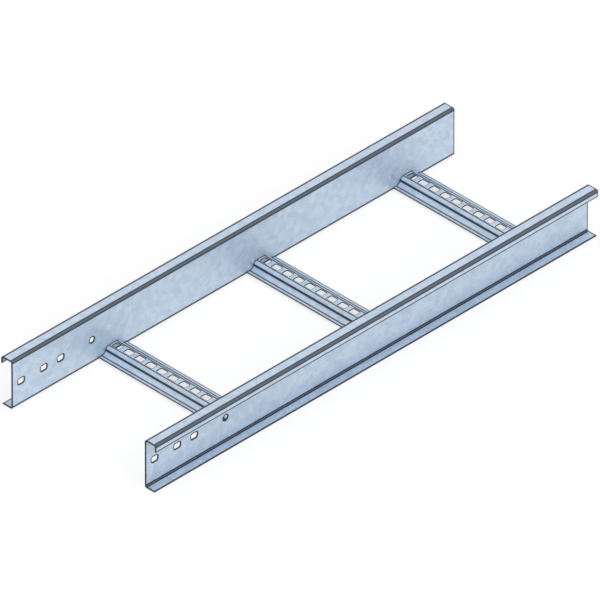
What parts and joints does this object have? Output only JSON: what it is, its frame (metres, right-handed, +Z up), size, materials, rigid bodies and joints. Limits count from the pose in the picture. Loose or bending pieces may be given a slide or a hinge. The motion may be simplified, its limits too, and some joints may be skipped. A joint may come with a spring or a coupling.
{
  "type": "cable ladder section",
  "caption": "Straight cable ladder section: folded steel side rails with joint holes at one end, joined by low slotted hat-section rungs that cables are laid on.",
  "frame": {"origin": "on the ground below the middle of the ladder", "axes": "+X along the ladder from the end with the joint holes to the plain end, +Y across it to the left rail, +Z up"},
  "size_m": [0.9, 0.314, 0.083],
  "materials": {
    "galvanised_steel": "zinc-coated sheet, satin, faintly spangled"
  },
  "bodies": {
    "root": {"side_rail_left": "galvanised_steel", "side_rail_right": "galvanised_steel", "rung_1": "galvanised_steel", "rung_2": "galvanised_steel", "rung_3": "galvanised_steel"}
  },
  "joints": []
}
